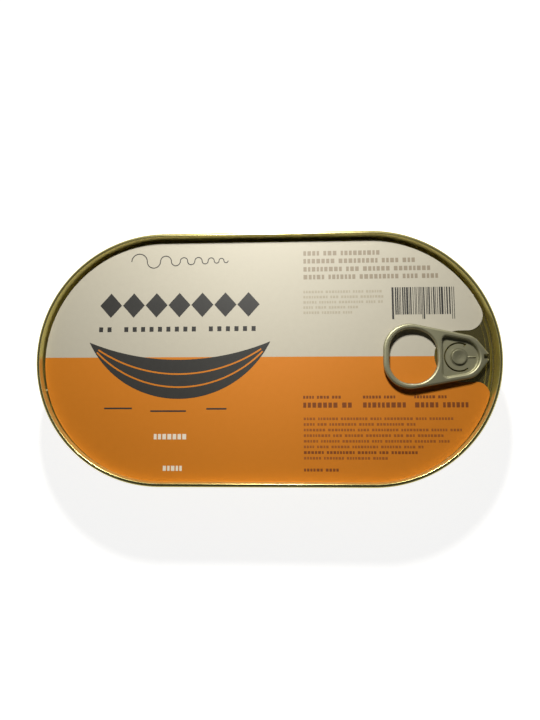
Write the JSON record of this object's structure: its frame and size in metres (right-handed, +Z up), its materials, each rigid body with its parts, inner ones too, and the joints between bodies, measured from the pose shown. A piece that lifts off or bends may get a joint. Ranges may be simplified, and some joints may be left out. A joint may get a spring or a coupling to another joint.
{
  "type": "fish tin",
  "caption": "Shut obround tin of small smoked fish with a rolled seam, an easy-open end, a riveted pull tab with a finger ring, and a two-colour paper label on the end.",
  "frame": {"origin": "centre of the base, on the surface that the tin stands on", "axes": "+X along the tin towards the pull tab, +Y across it, +Z up through the end"},
  "size_m": [0.1482, 0.0816, 0.0244],
  "materials": {
    "can_metal": "tinplate under a thin gold lacquer, drawn, satin",
    "gold_lacquer": "bright tinplate under gold lacquer",
    "tab_metal": "satin lacquered steel with rolled edges",
    "label_paper": "coated paper, cream above and orange below"
  },
  "bodies": {
    "root": {"can_body": "can_metal", "lid": "gold_lacquer", "pull_tab": "tab_metal", "label": "label_paper"}
  },
  "joints": []
}
